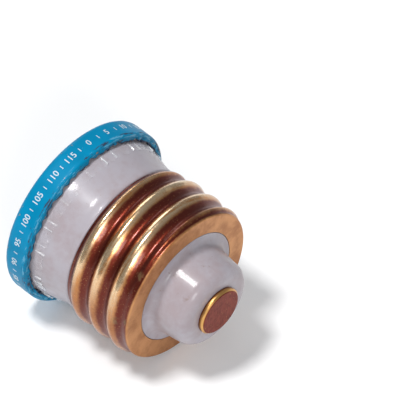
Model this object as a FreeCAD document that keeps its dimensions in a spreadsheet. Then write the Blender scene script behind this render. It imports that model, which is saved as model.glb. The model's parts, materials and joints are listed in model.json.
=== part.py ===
"""Screw-in plug fuse with a slow element, as it lies on a table.

Every piece is modelled upright in the fuse's own frame and then laid down with one shared
placement. In the fuse's frame the axis is Z, zero is the face of the centre contact and the
cap's face is the far end; X is the upper side of the fuse as it lies. Millimetres.
"""
import FreeCAD, Part
import Sketcher
import math
import os
import re
from FreeCAD import Placement, Rotation, Vector

SIZES = [
    # name, value, what it is
    ("total_length", 29.9, "contact face to cap face"),
    ("fit_gap", 0.02, "gap between pieces that are pushed together"),
    ("loose_gap", 0.1, "gap between pieces that are dropped together"),
    ("cap_radius", 14.7, "outside of the sheet cap"),
    ("cap_sheet", 0.4, "thickness of the cap's sheet"),
    ("cap_skirt", 4.25, "height of the cap's side"),
    ("cap_edge", 0.9, "rounding between the cap's face and side"),
    ("crimp_reach", 1.2, "how far the skirt's rear edge is turned in"),
    ("crimp_round", 0.6, "rounding of the turned-in edge"),
    ("hex_radius", 9.3, "centre to corner of the cap's six-sided opening"),
    ("gasket_bore", 8.0, "hole in the ring behind the cap's face"),
    ("gasket_sheet", 0.35, "thickness of that ring"),
    ("film_sheet", 0.12, "thickness of the window film"),
    ("film_tail", 1.8, "how far the film's skirt shows behind the cap"),
    ("neck_step", 0.5, "how far the neck stands out over the stem in the shell"),
    ("neck_height", 20.4, "where the neck starts to flare"),
    ("neck_bend", 6.2, "rounding from the neck into the flare"),
    ("shoulder_round", 0.4, "rounding of the body's edge above the shell"),
    ("flange_height", 7.1, "contact face to the flat end of the shell"),
    ("flange_sheet", 0.4, "thickness of the shell's flat end"),
    ("flange_bore", 9.35, "hole in the shell's flat end"),
    ("flange_round", 0.32, "rounding of the flat end's rim"),
    ("flange_inset", 0.6, "crest of the thread to the edge of the flat end"),
    ("shell_sheet", 0.35, "thickness of the shell's wall"),
    ("crest_radius", 13.1, "outside of the thread"),
    ("thread_depth", 0.85, "crest to root of the thread"),
    ("thread_pitch", 3.629, "seven turns to the inch"),
    ("crest_start", 7.5, "height of the first crest on the upper side"),
    ("lip_height", 19.2, "end of the shell nearest the cap"),
    ("lip_inset", 0.78, "crest of the thread to the outside of the shell at that end"),
    ("thread_fade", 1.3, "length over which the thread runs out"),
    ("nose_face", 0.9, "how far the contact stands out of the nose"),
    ("nose_tip_radius", 7.05, "nose at its rounded edge"),
    ("nose_root_radius", 7.45, "nose where it meets the fillet"),
    ("nose_edge", 2.0, "rounding of the nose's outer edge"),
    ("nose_fillet", 1.15, "fillet at the nose's root"),
    ("contact_radius", 3.9, "contact disc"),
    ("contact_bevel", 0.45, "bevel round the contact disc"),
    ("rivet_radius", 1.0, "shank of the contact rivet"),
    ("rivet_clinch", 0.6, "height of the clinched end"),
    ("washer_sheet", 0.3, "washer under the clinch"),
    ("strap_sheet", 0.4, "strap from the rivet to the solder cup"),
    ("strap_gap", 0.3, "room beside the strap where the pit meets the bore"),
    ("chamber_radius", 8.6, "space behind the window"),
    ("chamber_floor", 23.0, "height of that space's floor"),
    ("pit_radius", 4.2, "deep pit over the rivet"),
    ("pit_floor", 8.5, "height of the pit's floor"),
    ("pit_up", -1.0, "pit's centre along X"),
    ("pit_side", 2.0, "pit's centre along Y"),
    ("bore_radius", 2.7, "bore that the spring stands in"),
    ("bore_up", 2.1, "bore's centre along X"),
    ("bore_side", -2.9, "bore's centre along Y"),
    ("rib_half", 2.2, "half the width of the chamber's rib at the wall"),
    ("rib_tip_half", 0.55, "half the width of the rib's tip"),
    ("rib_reach", 2.6, "how far the rib stands in from the wall"),
    ("rib_root", 1.0, "how far the rib's outline starts inside the wall"),
    ("rib_turn", 152.0, "direction of the rib, in degrees from X"),
    ("cup_radius", 1.5, "outside of the solder cup"),
    ("cup_sheet", 0.25, "solder cup's wall"),
    ("cup_length", 3.6, "solder cup's height"),
    ("solder_depth", 2.9, "depth of the solder"),
    ("sleeve_sheet", 0.12, "mica sleeve round the cup"),
    ("heater_wire", 0.17, "radius of the heater's wire"),
    ("heater_pitch", 0.62, "spacing of the heater's turns"),
    ("heater_bare", 0.72, "height of the sleeve that the winding leaves bare"),
    ("pin_radius", 0.7, "trigger pin"),
    ("pin_depth", 2.4, "length of pin held in the solder"),
    ("pin_head_height", 13.9, "underside of the pin's head"),
    ("pin_head_radius", 2.1, "pin's head, which the spring pulls on"),
    ("pin_head_sheet", 0.45, "thickness of the pin's head"),
    ("pin_tip_radius", 0.8, "locating tip above the head"),
    ("pin_tip_length", 1.3, "length of that tip"),
    ("spring_radius", 1.75, "spring, centre of the wire"),
    ("spring_wire", 0.24, "radius of the spring's wire"),
    ("spring_pitch", 0.98, "spacing of the spring's turns"),
    ("link_height", 25.8, "underside of the fuse link"),
    ("link_sheet", 0.16, "thickness of the link"),
    ("link_half", 0.8, "half the link's width at its ends"),
    ("link_waist", 0.4, "half the link's width where it melts"),
    ("link_waist_length", 1.6, "length of that narrow stretch"),
    ("waist_away", 2.86, "live end of the link to the middle of that stretch"),
    ("anchor_up", 6.0, "insulated end of the link along X"),
    ("anchor_side", -2.3, "insulated end of the link along Y"),
    ("clip_up", -3.4, "live end of the link along X"),
    ("clip_side", -6.3, "live end of the link along Y"),
    ("post_radius", 0.85, "posts that carry the link"),
    ("post_foot", 1.15, "foot of each post"),
    ("post_foot_sheet", 0.4, "thickness of that foot"),
    ("link_rivet_radius", 0.45, "rivets through the link"),
    ("link_rivet_head", 0.75, "heads of those rivets"),
    ("link_rivet_dome", 0.35, "height of those heads"),
    ("link_rivet_length", 1.6, "length of their shanks in the posts"),
    ("lead_radius", 0.4, "wire from the live post to the shell"),
    ("lead_bore", 0.6, "hole for that wire"),
    ("lead_bend", 0.9, "bend of that wire"),
    ("lead_exit", 15.5, "height at which the wire leaves the stem"),
    ("lead_joint", 0.95, "solder that joins the wire to the shell"),
    ("lead_joint_depth", 0.9, "depth of that solder in the stem"),
]

SHEET = "Sizes"
NAMES = {name for name, _, _ in SIZES}
THREAD_COLUMNS = 48
THREAD_ROWS = 52

# heights and radii that follow from the sizes
CAP_REAR = "(total_length - cap_skirt)"
CAP_UNDER = "(total_length - cap_sheet)"
CRIMP_TOP = "(total_length - cap_skirt + cap_sheet)"
CRIMP_RADIUS = "(cap_radius - crimp_reach)"
FILM_TOP = "(total_length - cap_sheet - gasket_sheet)"
HEAD_TOP = "(total_length - cap_sheet - gasket_sheet - film_sheet)"
HEAD_RADIUS = "(cap_radius - cap_sheet - film_sheet - loose_gap)"
HEAD_BOTTOM = "(total_length - cap_skirt + cap_sheet + film_sheet + 3 * fit_gap)"
FLARE_TOP = "(total_length - cap_skirt - cap_sheet / 2)"
SHOULDER = "(lip_height + loose_gap)"
STRAP_TOP = "(pit_floor + strap_sheet)"
CUP_TOP = "(pit_floor + strap_sheet + cup_length)"
CUP_FLOOR = "(pit_floor + strap_sheet + cup_sheet)"
SOLDER_TOP = "(pit_floor + strap_sheet + cup_sheet + solder_depth)"
PIN_BOTTOM = "(pit_floor + strap_sheet + cup_sheet + solder_depth - pin_depth)"
STEM_RADIUS = "(crest_radius - thread_depth - shell_sheet - loose_gap)"
NECK_RADIUS = "(crest_radius - thread_depth - shell_sheet - loose_gap + neck_step)"
FLARE_RADIUS = "(cap_radius - crimp_reach - film_sheet - loose_gap - 1.5 * fit_gap)"
FLANGE_RADIUS = "(crest_radius - flange_inset)"
HEATER_RADIUS = "(cup_radius + sleeve_sheet + 2 * heater_wire + 2 * fit_gap)"
BORE_AWAY = "sqrt(bore_up ^ 2 + bore_side ^ 2)"
WASHER_RADIUS = f"({BORE_AWAY} - {HEATER_RADIUS} - loose_gap)"
CLINCH_RADIUS = f"({WASHER_RADIUS} - loose_gap)"
PIT_TO_BORE = "((bore_up - pit_up) ^ 2 + (bore_side - pit_side) ^ 2)"
PIT_TO_NECK = f"(({PIT_TO_BORE} + pit_radius ^ 2 - bore_radius ^ 2) / (2 * sqrt({PIT_TO_BORE})))"
STRAP_HALF = f"(sqrt(pit_radius ^ 2 - {PIT_TO_NECK} ^ 2) - strap_gap)"
HEAD_SEAT = "(pin_head_height + pin_head_sheet)"
LINK_TOP = "(link_height + link_sheet)"
SPRING_LENGTH = "(link_height - pin_head_height - pin_head_sheet - 2 * spring_wire - 2 * fit_gap)"

doc = FreeCAD.newDocument("plug_fuse")


def make_sheet():
    """The driving sizes, one row each: name, value and meaning."""
    sheet = doc.addObject("Spreadsheet::Sheet", SHEET)
    for row, (name, value, meaning) in enumerate(SIZES, start=1):
        sheet.set(f"A{row}", name)
        sheet.set(f"B{row}", str(value))
        sheet.setAlias(f"B{row}", name)
        sheet.set(f"C{row}", meaning)
    doc.recompute()
    return sheet


def bound(formula):
    """A formula over the sheet's names, as the document's expressions read it."""
    return re.sub(r"[a-z_]+", lambda word: f"{SHEET}.{word[0]}" if word[0] in NAMES else word[0],
                  formula)


sheet = make_sheet()


def size(formula):
    """The present value of such a formula."""
    return float(sheet.evalExpression(bound(formula)))


def new_body(name):
    body = doc.addObject("PartDesign::Body", name)
    body.Label = name
    return body


def new_sketch(body, role, name, shift=("0", "0", "0")):
    """A sketch on one of the body's own planes; shift moves it along its own three axes."""
    plane = next(item for item in body.Origin.OriginFeatures if item.Role == role)
    sketch = body.newObject("Sketcher::SketchObject", name)
    sketch.AttachmentSupport = [(plane, "")]
    sketch.MapMode = "FlatFace"
    for axis, formula in zip("xyz", shift):
        sketch.setExpression(f"AttachmentOffset.Base.{axis}", bound(formula))
    return sketch


def hold_point(sketch, item, end, across, along):
    """Pin one point of a sketch at two formulas, measured from the sketch's origin."""
    for kind, formula, axis in (("DistanceX", across, -2), ("DistanceY", along, -1)):
        if abs(size(formula)) < 1e-9:
            sketch.addConstraint(Sketcher.Constraint("PointOnObject", item, end, axis))
            continue
        index = sketch.addConstraint(
            Sketcher.Constraint(kind, -1, 1, item, end, size(formula)))
        sketch.setExpression(f"Constraints[{index}]", bound(formula))


def arc_through(start, end, radius, turn):
    """The short arc of a radius from start to end; turn is +1 to the left, -1 to the right."""
    middle = (start + end) * 0.5
    chord = end - start
    rise = math.sqrt(max(radius ** 2 - (chord.Length / 2) ** 2, 0.0))
    left = Vector(-chord.y, chord.x, 0).normalize()
    centre = middle + left * rise * turn
    top = centre - left * radius * turn
    return Part.Arc(start, top, end)


def draw_outline(sketch, steps):
    """A closed outline. Each step is (across, along), reached from the last by a line, or
    (across, along, radius, turn), reached by an arc."""
    points = [Vector(size(step[0]), size(step[1]), 0) for step in steps]
    count = len(steps)
    for index, step in enumerate(steps):
        start, end = points[index - 1], points[index]
        if len(step) == 2:
            sketch.addGeometry(Part.LineSegment(start, end), False)
        else:
            sketch.addGeometry(arc_through(start, end, size(step[2]), step[3]), False)
    ends = []
    for index, step in enumerate(steps):
        # an arc drawn clockwise is stored with its ends swapped
        swapped = len(step) == 4 and step[3] < 0
        ends.append((2, 1) if swapped else (1, 2))
    for index in range(count):
        following = (index + 1) % count
        sketch.addConstraint(Sketcher.Constraint(
            "Coincident", index, ends[index][1], following, ends[following][0]))
    for index, step in enumerate(steps):
        hold_point(sketch, index, ends[index][1], step[0], step[1])
        if len(step) == 4:
            held = sketch.addConstraint(Sketcher.Constraint("Radius", index, size(step[2])))
            sketch.setExpression(f"Constraints[{held}]", bound(step[2]))


def draw_circle(sketch, across, along, radius):
    centre = Vector(size(across), size(along), 0)
    item = sketch.addGeometry(Part.Circle(centre, Vector(0, 0, 1), size(radius)), False)
    hold_point(sketch, item, 3, across, along)
    held = sketch.addConstraint(Sketcher.Constraint("Radius", item, size(radius)))
    sketch.setExpression(f"Constraints[{held}]", bound(radius))


def draw_slot(sketch, first, second, half):
    """A strip with round ends between two centres."""
    one = Vector(size(first[0]), size(first[1]), 0)
    two = Vector(size(second[0]), size(second[1]), 0)
    radius = size(half)
    heading = math.atan2(two.y - one.y, two.x - one.x)
    side = Vector(-math.sin(heading), math.cos(heading), 0) * radius
    quarter = math.pi / 2
    sketch.addGeometry([
        Part.ArcOfCircle(Part.Circle(one, Vector(0, 0, 1), radius), heading + quarter,
                         heading + 3 * quarter),
        Part.ArcOfCircle(Part.Circle(two, Vector(0, 0, 1), radius), heading - quarter,
                         heading + quarter),
        Part.LineSegment(one - side, two - side),
        Part.LineSegment(one + side, two + side),
    ], False)
    for one_item, one_end, other_item, other_end in ((0, 2, 2, 1), (2, 2, 1, 1), (1, 2, 3, 2),
                                                     (3, 1, 0, 1)):
        sketch.addConstraint(Sketcher.Constraint("Tangent", one_item, one_end, other_item,
                                                 other_end))
    hold_point(sketch, 0, 3, *first)
    hold_point(sketch, 1, 3, *second)
    held = sketch.addConstraint(Sketcher.Constraint("Radius", 0, radius))
    sketch.setExpression(f"Constraints[{held}]", bound(half))


def finish_feature(body, feature, sketch, grows):
    """Recompute, and make sure the feature added or removed material as it should."""
    before = body.Shape.Volume if not body.Shape.isNull() else 0.0
    doc.recompute()
    change = feature.Shape.Volume - before
    if (change > 0) != grows or abs(change) < 1e-6:
        raise ValueError(f"{feature.Label} changed the volume by {change:.6f}")
    sketch.Visibility = False
    body.Tip = feature


def turn(body, steps, at=("0", "0")):
    """Revolve an outline of (radius, height) about a line parallel to Z through at."""
    sketch = new_sketch(body, "XZ_Plane", body.Label + "_outline",
                        (at[0], "0", f"-({at[1]})"))
    draw_outline(sketch, steps)
    feature = body.newObject("PartDesign::Revolution", body.Label + "_turned")
    feature.Profile = sketch
    feature.ReferenceAxis = (sketch, ["V_Axis"])
    feature.Angle = 360
    finish_feature(body, feature, sketch, True)


def turned(name, steps, at=("0", "0")):
    body = new_body(name)
    turn(body, steps, at)
    return body


def tube_outline(inner, outer, bottom, top):
    return [(inner, bottom), (outer, bottom), (outer, top), (inner, top)]


def cut_down(body, name, draw, top, depth):
    """Cut what draw puts in a sketch, from a height downwards."""
    sketch = new_sketch(body, "XY_Plane", name + "_outline", ("0", "0", top))
    draw(sketch)
    feature = body.newObject("PartDesign::Pocket", name)
    feature.Profile = sketch
    feature.setExpression("Length", bound(depth))
    finish_feature(body, feature, sketch, False)


def pad_up(body, name, draw, bottom, height):
    """Raise what draw puts in a sketch, from a height upwards."""
    sketch = new_sketch(body, "XY_Plane", name + "_outline", ("0", "0", bottom))
    draw(sketch)
    feature = body.newObject("PartDesign::Pad", name)
    feature.Profile = sketch
    feature.setExpression("Length", bound(height))
    finish_feature(body, feature, sketch, True)


def coiled(name, at, radius, wire, bottom, pitch, length):
    """A round wire wound about a line parallel to Z; bottom is the first turn's centre."""
    body = new_body(name)
    sketch = new_sketch(body, "XZ_Plane", name + "_outline", (at[0], "0", f"-({at[1]})"))
    draw_circle(sketch, radius, bottom, wire)
    feature = body.newObject("PartDesign::AdditiveHelix", name + "_wound")
    feature.Profile = sketch
    feature.ReferenceAxis = (sketch, ["V_Axis"])
    feature.Mode = 0
    feature.setExpression("Pitch", bound(pitch))
    feature.setExpression("Height", bound(length))
    finish_feature(body, feature, sketch, True)
    return body


# ---------------------------------------------------------------- porcelain

def insulator_body():
    """Porcelain: nose, stem inside the shell, flared neck, head, and the spaces inside."""
    body = new_body("insulator_body")
    slope = f"(atan2({FLARE_RADIUS} - {NECK_RADIUS}; total_length - cap_skirt - neck_height))"
    turn(body, [
        ("0", "chamber_floor"),
        ("0", "nose_face"),
        ("nose_tip_radius - nose_edge", "nose_face"),
        ("nose_tip_radius", "nose_face + nose_edge", "nose_edge", 1),
        ("nose_root_radius", "flange_height - nose_fillet"),
        ("nose_root_radius + nose_fillet", "flange_height", "nose_fillet", -1),
        ("flange_bore - loose_gap", "flange_height"),
        ("flange_bore - loose_gap", "flange_height + flange_sheet + fit_gap"),
        (STEM_RADIUS, "flange_height + flange_sheet + fit_gap"),
        (STEM_RADIUS, SHOULDER),
        (NECK_RADIUS + " - shoulder_round", SHOULDER),
        (NECK_RADIUS, SHOULDER + " + shoulder_round", "shoulder_round", 1),
        (NECK_RADIUS, "neck_height"),
        (f"{NECK_RADIUS} + neck_bend * (1 - cos({slope}))",
         f"neck_height + neck_bend * sin({slope})", "neck_bend", -1),
        (FLARE_RADIUS, FLARE_TOP),
        (FLARE_RADIUS, HEAD_BOTTOM),
        (HEAD_RADIUS, HEAD_BOTTOM),
        (HEAD_RADIUS, HEAD_TOP),
        ("chamber_radius", HEAD_TOP),
        ("chamber_radius", "chamber_floor"),
    ])
    depth = "chamber_floor - pit_floor"
    cut_down(body, "pit", lambda s: draw_circle(s, "pit_up", "pit_side", "pit_radius"),
             "chamber_floor", depth)
    cut_down(body, "spring_bore",
             lambda s: draw_circle(s, "bore_up", "bore_side", "bore_radius"),
             "chamber_floor", depth)
    cut_down(body, "rivet_bore",
             lambda s: draw_circle(s, "0", "0", "rivet_radius + loose_gap"),
             "pit_floor", "pit_floor - nose_face")
    cut_down(body, "lead_bore_down",
             lambda s: draw_circle(s, "clip_up", "clip_side", "lead_bore"),
             "chamber_floor", "chamber_floor - lead_exit + lead_bore / 2")
    lead_bore_out(body)
    pad_up(body, "chamber_rib", draw_rib, "chamber_floor", HEAD_TOP + " - chamber_floor")
    return body


def lead_bore_out(body):
    """The lead's way out of the stem, and the wider mouth that the solder fills."""
    reach = f"sqrt({STEM_RADIUS} ^ 2 - clip_up ^ 2)"
    for name, radius, start in (("lead_bore_side", "lead_bore", "-clip_side"),
                                ("lead_mouth", "lead_joint", reach + " - lead_joint_depth")):
        sketch = new_sketch(body, "XZ_Plane", name + "_outline", ("0", "0", start))
        draw_circle(sketch, "clip_up", "lead_exit", radius)
        feature = body.newObject("PartDesign::Pocket", name)
        feature.Profile = sketch
        feature.Reversed = True
        feature.setExpression("Length", bound(f"{STEM_RADIUS} - ({start})"))
        finish_feature(body, feature, sketch, False)


def draw_rib(sketch):
    """A wedge of the chamber's wall that points at the axis."""
    root, tip = "(chamber_radius + rib_root)", "(chamber_radius - rib_reach)"
    corners = [(root, "rib_half"), (root, "(-rib_half)"),
               (tip, "(-rib_tip_half)"), (tip, "rib_tip_half")]
    draw_outline(sketch, [(f"{away} * cos(rib_turn) - {aside} * sin(rib_turn)",
                           f"{away} * sin(rib_turn) + {aside} * cos(rib_turn)")
                          for away, aside in corners])


# ---------------------------------------------------------------- brass shell

def thread_surface(wall):
    """The shell's outer skin, moved in by wall: a wave that climbs one pitch each turn."""
    bottom = size("flange_height + flange_sheet / 2")
    top = size("lip_height")
    pitch, fade = size("thread_pitch"), size("thread_fade")
    wave = size("thread_depth / 2")
    middle = size("crest_radius") - wave
    foot, lip = size(FLANGE_RADIUS + " - flange_sheet / 2"), size("crest_radius - lip_inset")
    spans = THREAD_ROWS - 3
    step = (top - bottom) / spans
    # a cubic surface lies inside its control points; this brings the crests back out
    gain = 3 / (2 + math.cos(2 * math.pi * step / pitch))
    knots = [0] * 3 + list(range(spans + 1)) + [spans] * 3
    poles = []
    for column in range(THREAD_COLUMNS):
        turn_angle = 2 * math.pi * column / THREAD_COLUMNS
        line = []
        for row in range(THREAD_ROWS):
            height = bottom + step * sum(knots[row + 1:row + 4]) / 3
            low = smooth((height - bottom) / fade)
            high = smooth((top - height) / fade)
            phase = 2 * math.pi * (height - size("crest_start")) / pitch - turn_angle
            radius = (foot * (1 - low) + lip * (1 - high) + middle * (low + high - 1)
                      + wave * gain * low * high * math.cos(phase) - wall)
            line.append(Vector(radius * math.cos(turn_angle), radius * math.sin(turn_angle), height))
        poles.append(line)
    surface = Part.BSplineSurface()
    surface.buildFromPolesMultsKnots(
        poles, [1] * (THREAD_COLUMNS + 1), [4] + [1] * (spans - 1) + [4],
        list(range(THREAD_COLUMNS + 1)), list(range(spans + 1)), True, False, 3, 3)
    return surface.toShape()


def smooth(share):
    """0 to 1 with level ends."""
    share = min(max(share, 0.0), 1.0)
    return share * share * (3 - 2 * share)


def end_edge(face, height):
    """The closed edge of a skin at a height."""
    return next(edge for edge in face.Edges
                if max(abs(edge.BoundBox.ZMin - height), abs(edge.BoundBox.ZMax - height)) < 1e-4)


def screw_shell():
    """Sheet brass: a rolled right-hand thread, and a flat end with a hole for the nose."""
    outer = thread_surface(0.0)
    inner = thread_surface(size("shell_sheet"))
    faces = [outer, inner]
    for height in (size("flange_height + flange_sheet / 2"), size("lip_height")):
        faces.append(Part.makeRuledSurface(end_edge(outer, height), end_edge(inner, height)))
    skin = Part.makeShell(faces)
    skin.sewShape()
    wall = Part.makeSolid(skin)
    if wall.Volume < 0:
        wall.reverse()
    low, sheet_depth = size("flange_height"), size("flange_sheet")
    flange = Part.makeCylinder(size(FLANGE_RADIUS), sheet_depth, Vector(0, 0, low))
    rim = [edge for edge in flange.Edges if edge.BoundBox.ZMax < low + 1e-6 and edge.Closed]
    flange = flange.makeFillet(size("flange_round"), rim)
    # the cutter stands out of the sheet on both sides
    bore = Part.makeCylinder(size("flange_bore"), 3 * sheet_depth, Vector(0, 0, low - sheet_depth))
    flange = flange.cut(bore)
    feature = doc.addObject("Part::Feature", "screw_shell")
    feature.Label = "screw_shell"
    feature.Shape = wall.fuse(flange)
    return feature


# ---------------------------------------------------------------- contact end

def centre_contact():
    """The contact rivet: bevelled disc, shank through the nose, clinched end over the washer."""
    clinch = f"({STRAP_TOP} + washer_sheet)"
    return turned("centre_contact", [
        ("0", "0"),
        ("contact_radius - contact_bevel", "0"),
        ("contact_radius", "contact_bevel"),
        ("contact_radius", "nose_face"),
        ("rivet_radius", "nose_face"),
        ("rivet_radius", clinch),
        (CLINCH_RADIUS, clinch),
        (CLINCH_RADIUS + " - rivet_clinch / 2", f"{clinch} + rivet_clinch"),
        ("0", f"{clinch} + rivet_clinch"),
    ])


def contact_strap():
    """Flat strap that joins the rivet to the solder cup."""
    body = new_body("contact_strap")
    pad_up(body, "strap_blank",
           lambda s: draw_slot(s, ("0", "0"), ("bore_up", "bore_side"), STRAP_HALF),
           "pit_floor", "strap_sheet")
    cut_down(body, "strap_hole",
             lambda s: draw_circle(s, "0", "0", "rivet_radius + fit_gap"),
             STRAP_TOP, "strap_sheet")
    return body


def clinch_washer():
    return turned("clinch_washer", tube_outline("rivet_radius + fit_gap", WASHER_RADIUS,
                                                STRAP_TOP, STRAP_TOP + " + washer_sheet"))


# ---------------------------------------------------------------- slow element

BORE = ("bore_up", "bore_side")


def solder_cup():
    inside = "cup_radius - cup_sheet"
    return turned("solder_cup", [
        ("0", STRAP_TOP),
        ("cup_radius", STRAP_TOP),
        ("cup_radius", CUP_TOP),
        (inside, CUP_TOP),
        (inside, CUP_FLOOR),
        ("0", CUP_FLOOR),
    ], BORE)


def solder_slug():
    """The solder, with the pin's seat in it."""
    seat = "pin_radius + fit_gap * 1.5"
    return turned("solder_slug", [
        ("0", CUP_FLOOR),
        ("cup_radius - cup_sheet", CUP_FLOOR),
        ("cup_radius - cup_sheet", SOLDER_TOP),
        (seat, SOLDER_TOP),
        (seat, PIN_BOTTOM + " - fit_gap"),
        ("0", PIN_BOTTOM + " - fit_gap"),
    ], BORE)


def heater_sleeve():
    return turned("heater_sleeve", tube_outline(
        "cup_radius + fit_gap", "cup_radius + fit_gap + sleeve_sheet", STRAP_TOP, CUP_TOP), BORE)


def heater_coil():
    """Resistance wire wound on the mica sleeve."""
    return coiled("heater_coil", BORE,
                  "cup_radius + sleeve_sheet + heater_wire + 2 * fit_gap", "heater_wire",
                  STRAP_TOP + " + heater_wire + fit_gap", "heater_pitch", "cup_length - heater_bare")


def trigger_pin():
    """The pin that the solder holds and the spring pulls on."""
    return turned("trigger_pin", [
        ("0", PIN_BOTTOM),
        ("pin_radius", PIN_BOTTOM),
        ("pin_radius", "pin_head_height"),
        ("pin_head_radius", "pin_head_height"),
        ("pin_head_radius", HEAD_SEAT),
        ("pin_tip_radius", HEAD_SEAT),
        ("pin_tip_radius", HEAD_SEAT + " + pin_tip_length"),
        ("0", HEAD_SEAT + " + pin_tip_length"),
    ], BORE)


def pull_spring():
    return coiled("pull_spring", BORE, "spring_radius", "spring_wire",
                  HEAD_SEAT + " + spring_wire + fit_gap", "spring_pitch", SPRING_LENGTH)


# ---------------------------------------------------------------- link and its posts

ANCHOR = ("anchor_up", "anchor_side")
CLIP = ("clip_up", "clip_side")


def fuse_link():
    """The thin strip across the spring, narrowed where it is meant to melt."""
    body = new_body("fuse_link")
    pad_up(body, "link_blank", lambda s: draw_slot(s, ANCHOR, CLIP, "link_half"),
           "link_height", "link_sheet")
    for name, at in (("anchor_hole", ANCHOR), ("clip_hole", CLIP)):
        cut_down(body, name,
                 lambda s, at=at: draw_circle(s, at[0], at[1], "link_rivet_radius + fit_gap"),
                 LINK_TOP, "link_sheet")
    for name, side in (("waist_left", 1), ("waist_right", -1)):
        cut_down(body, name, lambda s, side=side: draw_waist(s, side), LINK_TOP, "link_sheet")
    return body


def draw_waist(sketch, side):
    """A round bite out of one edge of the link; side is 1 or -1."""
    run_up, run_side = "(anchor_up - clip_up)", "(anchor_side - clip_side)"
    run = f"sqrt({run_up} ^ 2 + {run_side} ^ 2)"
    bite = "(link_waist_length / 2)"
    aside = f"({side} * (link_waist + {bite}))"
    draw_circle(sketch, f"clip_up + ({run_up} * waist_away - {run_side} * {aside}) / {run}",
                f"clip_side + ({run_side} * waist_away + {run_up} * {aside}) / {run}", bite)


def link_post(name, at):
    """A post on the chamber's floor, bored for the link's rivet."""
    bore = "link_rivet_radius + fit_gap"
    floor = "link_height - link_rivet_length - fit_gap"
    return turned(name, [
        ("0", "chamber_floor"),
        ("post_foot", "chamber_floor"),
        ("post_foot", "chamber_floor + post_foot_sheet"),
        ("post_radius", "chamber_floor + post_foot_sheet"),
        ("post_radius", "link_height"),
        (bore, "link_height"),
        (bore, floor),
        ("0", floor),
    ], at)


def link_rivet(name, at):
    return turned(name, [
        ("0", "link_height - link_rivet_length"),
        ("link_rivet_radius", "link_height - link_rivet_length"),
        ("link_rivet_radius", LINK_TOP),
        ("link_rivet_head", LINK_TOP),
        ("link_rivet_radius", LINK_TOP + " + link_rivet_dome"),
        ("0", LINK_TOP + " + link_rivet_dome"),
    ], at)


def shell_lead():
    """Wire from the live post down through the body and out to the shell."""
    body = new_body("shell_lead")
    path = new_sketch(body, "YZ_Plane", "shell_lead_path", ("0", "0", "clip_up"))
    joint = f"-(sqrt({STEM_RADIUS} ^ 2 - clip_up ^ 2) - lead_joint_depth)"
    top = Vector(size("clip_side"), size("chamber_floor"), 0)
    bend_top = Vector(size("clip_side"), size("lead_exit + lead_bend"), 0)
    bend_end = Vector(size("clip_side - lead_bend"), size("lead_exit"), 0)
    end = Vector(size(joint), size("lead_exit"), 0)
    path.addGeometry(Part.LineSegment(top, bend_top), False)
    path.addGeometry(arc_through(bend_top, bend_end, size("lead_bend"), -1), False)
    path.addGeometry(Part.LineSegment(bend_end, end), False)
    path.addConstraint(Sketcher.Constraint("Tangent", 0, 2, 1, 2))
    path.addConstraint(Sketcher.Constraint("Tangent", 1, 1, 2, 1))
    hold_point(path, 0, 1, "clip_side", "chamber_floor")
    path.addConstraint(Sketcher.Constraint("Vertical", 0))
    hold_point(path, 2, 2, joint, "lead_exit")
    held = path.addConstraint(Sketcher.Constraint("Radius", 1, size("lead_bend")))
    path.setExpression(f"Constraints[{held}]", bound("lead_bend"))
    ring = new_sketch(body, "XY_Plane", "shell_lead_ring", ("0", "0", "chamber_floor"))
    draw_circle(ring, "clip_up", "clip_side", "lead_radius")
    feature = body.newObject("PartDesign::AdditivePipe", "shell_lead_drawn")
    feature.Profile = ring
    feature.Spine = path
    finish_feature(body, feature, ring, True)
    return body


def shell_solder():
    """The solder in the stem's mouth, flush with the stem and touching the lead's end."""
    body = new_body("shell_solder")
    reach = f"sqrt({STEM_RADIUS} ^ 2 - (abs(clip_up) + lead_joint) ^ 2)"
    mouth = f"(sqrt({STEM_RADIUS} ^ 2 - clip_up ^ 2) - lead_joint_depth)"
    sketch = new_sketch(body, "XZ_Plane", "shell_solder_outline", ("0", "0", mouth))
    draw_circle(sketch, "clip_up", "lead_exit", "lead_joint - fit_gap")
    feature = body.newObject("PartDesign::Pad", "shell_solder_blob")
    feature.Profile = sketch
    feature.setExpression("Length", bound(f"{reach} - {mouth}"))
    finish_feature(body, feature, sketch, True)
    return body


# ---------------------------------------------------------------- cap end

def window_film():
    """Clear film over the window, folded down round the head and left showing behind the cap."""
    inner, under = "(" + HEAD_RADIUS + " + fit_gap)", f"({FLARE_RADIUS} + fit_gap)"
    fold = "(" + HEAD_BOTTOM + " - fit_gap)"
    lean = f"(({FLARE_RADIUS} - {NECK_RADIUS}) / (total_length - cap_skirt - neck_height))"
    tail = "(total_length - cap_skirt - film_tail)"
    drop = f"({FLARE_TOP} - {tail})"
    return turned("window_film", [
        ("0", HEAD_TOP),
        (inner, HEAD_TOP),
        (inner, fold),
        (under, fold),
        (under, FLARE_TOP),
        (f"{under} - {drop} * {lean}", tail),
        (f"{under} - {drop} * {lean} + film_sheet", tail),
        (f"{under} + film_sheet", FLARE_TOP),
        (f"{under} + film_sheet", fold + " - film_sheet"),
        (inner + " + film_sheet", fold + " - film_sheet"),
        (inner + " + film_sheet", FILM_TOP),
        ("0", FILM_TOP),
    ])


def face_gasket():
    """Dark ring between the film and the cap's face."""
    return turned("face_gasket", tube_outline("gasket_bore", "cap_radius - cap_edge - fit_gap",
                                              FILM_TOP, CAP_UNDER))


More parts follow.
